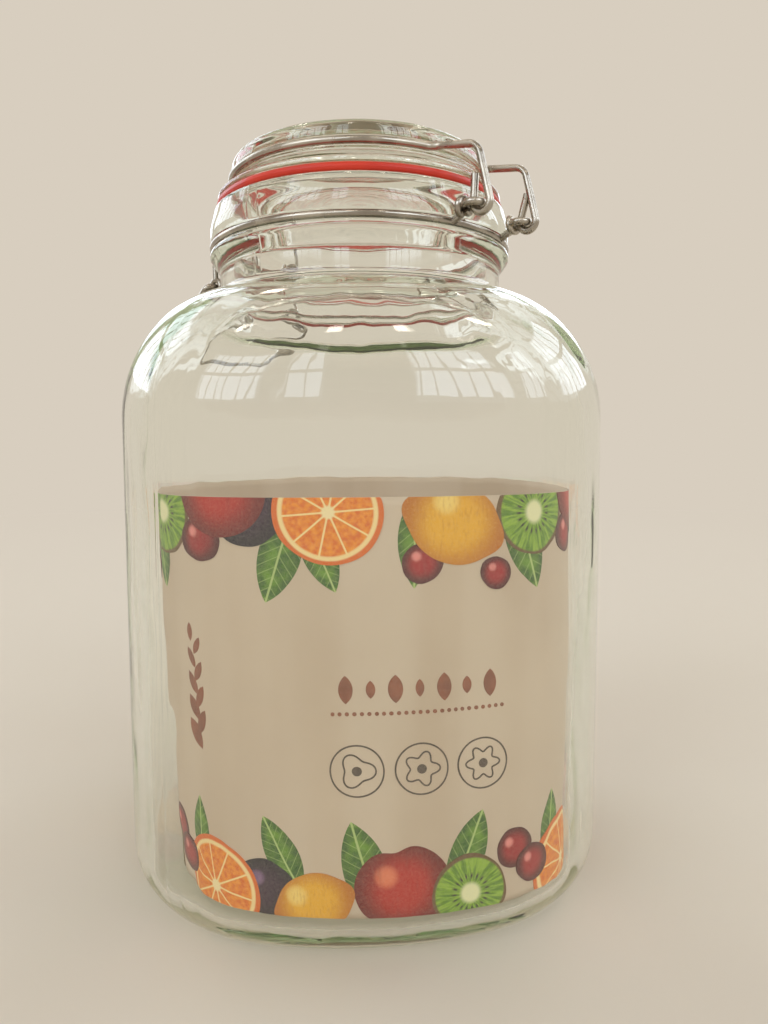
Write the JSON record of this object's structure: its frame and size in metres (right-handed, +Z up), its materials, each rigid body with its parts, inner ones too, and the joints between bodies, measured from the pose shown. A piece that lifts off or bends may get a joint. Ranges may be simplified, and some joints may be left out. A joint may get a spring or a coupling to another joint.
{
  "type": "clip-top storage jar",
  "caption": "Square-shouldered clear glass jar with a round clip-down glass lid, orange rubber seal, sprung wire hinge and clasp, and a printed paper band inside.",
  "frame": {"origin": "middle of the base, on the surface that the jar stands on", "axes": "+Z up; the flat-sided body's faces look along X and Y, the front of the label faces -Y; the wire hinge is over the +X -Y corner and the clasp over the -X +Y corner"},
  "size_m": [0.15, 0.15, 0.2282],
  "materials": {
    "glass": "clear pressed soda-lime glass",
    "rubber_seal": "smooth orange-red natural rubber",
    "steel_wire": "bright drawn steel wire",
    "label_paper": "uncoated off-white paper, printed"
  },
  "bodies": {
    "jar": {"glass_jar": "glass", "neck_wire": "steel_wire", "label_insert": "label_paper"},
    "lid": {"glass_lid": "glass", "seal": "rubber_seal", "lid_wire": "steel_wire"},
    "lever": {"clasp_lever": "steel_wire"},
    "bail": {"clasp_bail": "steel_wire"}
  },
  "joints": [
    {"name": "lid_hinge", "type": "hinge", "parent": "jar", "child": "lid", "pos_m": [0.0396, -0.0396, 0.2034], "axis": [0.7071, 0.7071, 0], "range_deg": [0, 110]},
    {"name": "lever_pivot", "type": "hinge", "parent": "jar", "child": "lever", "pos_m": [-0.0396, 0.0396, 0.2034], "axis": [0.7071, 0.7071, 0], "range_deg": [0, 115]},
    {"name": "bail_pivot", "type": "hinge", "parent": "lever", "child": "bail", "pos_m": [-0.0379, 0.0379, 0.19442], "axis": [0.7071, 0.7071, 0], "range_deg": [-115, 0]}
  ],
  "couplings": [
    {"joint": "bail_pivot", "follows": "lever_pivot", "ratio": -1}
  ]
}
